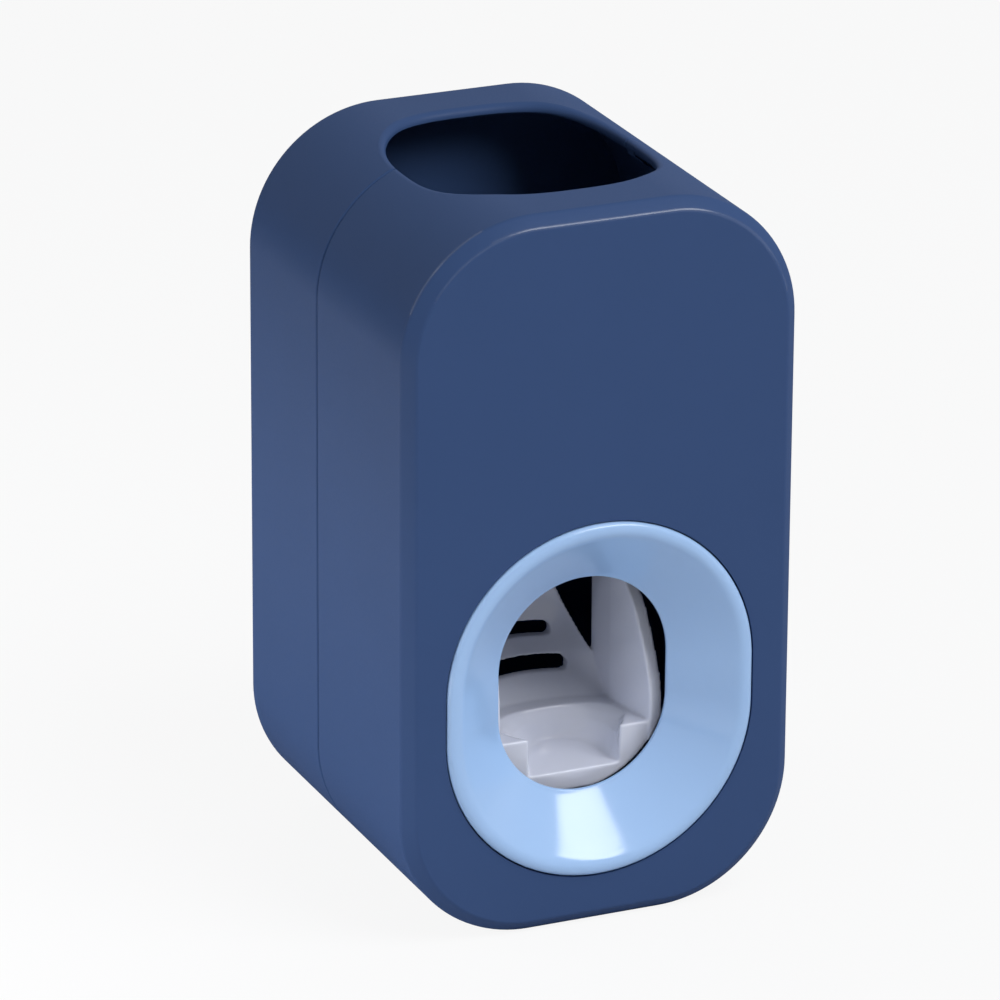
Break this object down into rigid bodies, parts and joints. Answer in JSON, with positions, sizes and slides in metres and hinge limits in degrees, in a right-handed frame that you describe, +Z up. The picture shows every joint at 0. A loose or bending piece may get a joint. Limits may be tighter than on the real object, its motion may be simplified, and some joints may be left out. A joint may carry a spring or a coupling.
{
  "type": "toothpaste tube squeezer",
  "caption": "Wall-hung toothpaste squeezer: a brush pushed into the front cradle turns a lever that works a pump under the tube mouth.",
  "frame": {"origin": "middle of the base, on the surface the housing stands on", "axes": "+Z up, -Y towards the user (brush port), +X to the user's right"},
  "size_m": [0.0628, 0.0646, 0.112],
  "materials": {
    "housing": "fine spark-eroded grain, moulded ABS",
    "ring": "polished, moulded ABS",
    "cradle": "polished, moulded ABS",
    "inner_plastic": "satin, moulded ABS",
    "barrel": "frosted polypropylene",
    "silicone": "satin moulded silicone",
    "steel": "drawn stainless steel",
    "foam": "closed-cell foam tape"
  },
  "bodies": {
    "housing": {"rear_shell": "housing", "pump_frame": "inner_plastic", "frame_screw_1": "steel", "frame_screw_2": "steel", "frame_screw_3": "steel", "frame_screw_4": "steel", "pivot_pin": "steel", "pivot_clip_left": "steel", "pivot_clip_right": "steel", "pump_cylinder": "barrel", "cylinder_gasket": "silicone", "pump_manifold": "inner_plastic", "manifold_screw_1": "steel", "manifold_screw_2": "steel", "manifold_screw_3": "steel", "manifold_screw_4": "steel", "duct_plug": "inner_plastic", "inlet_seat": "silicone", "inlet_collar": "inner_plastic", "inlet_flap": "silicone", "outlet_valve": "silicone", "nozzle_collar": "inner_plastic", "return_spring": "steel"},
    "front_cover": {"front_shell": "housing", "bezel_ring": "ring"},
    "lever": {"push_lever": "cradle"},
    "plunger": {"piston": "inner_plastic", "piston_seal": "silicone", "crosshead": "cradle"},
    "hanger": {"wall_plate": "inner_plastic", "adhesive_pad": "foam"}
  },
  "joints": [
    {"name": "lever_pivot", "type": "hinge", "parent": "housing", "child": "lever", "pos_m": [0, -0.00539, 0.056], "axis": [1, 0, 0], "range_deg": [0, 20], "stiffness_Nm_per_rad": 0.25, "springref_deg": -17.19},
    {"name": "piston_slide", "type": "slide", "parent": "housing", "child": "plunger", "axis": [0, 0, 1], "range_m": [0, 0.0077], "stiffness_N_per_m": 0.005, "springref_m": 3.1067, "deforming": ["return_spring"]},
    {"name": "cover_pull", "type": "slide", "parent": "housing", "child": "front_cover", "axis": [0, -1, 0], "range_m": [0, 0.04]},
    {"name": "plate_slide", "type": "slide", "parent": "housing", "child": "hanger", "axis": [0, 0, -1], "range_m": [0, 0.009]}
  ],
  "couplings": [
    {"joint": "piston_slide", "follows": "lever_pivot", "m_per_rad": 0.02205}
  ]
}
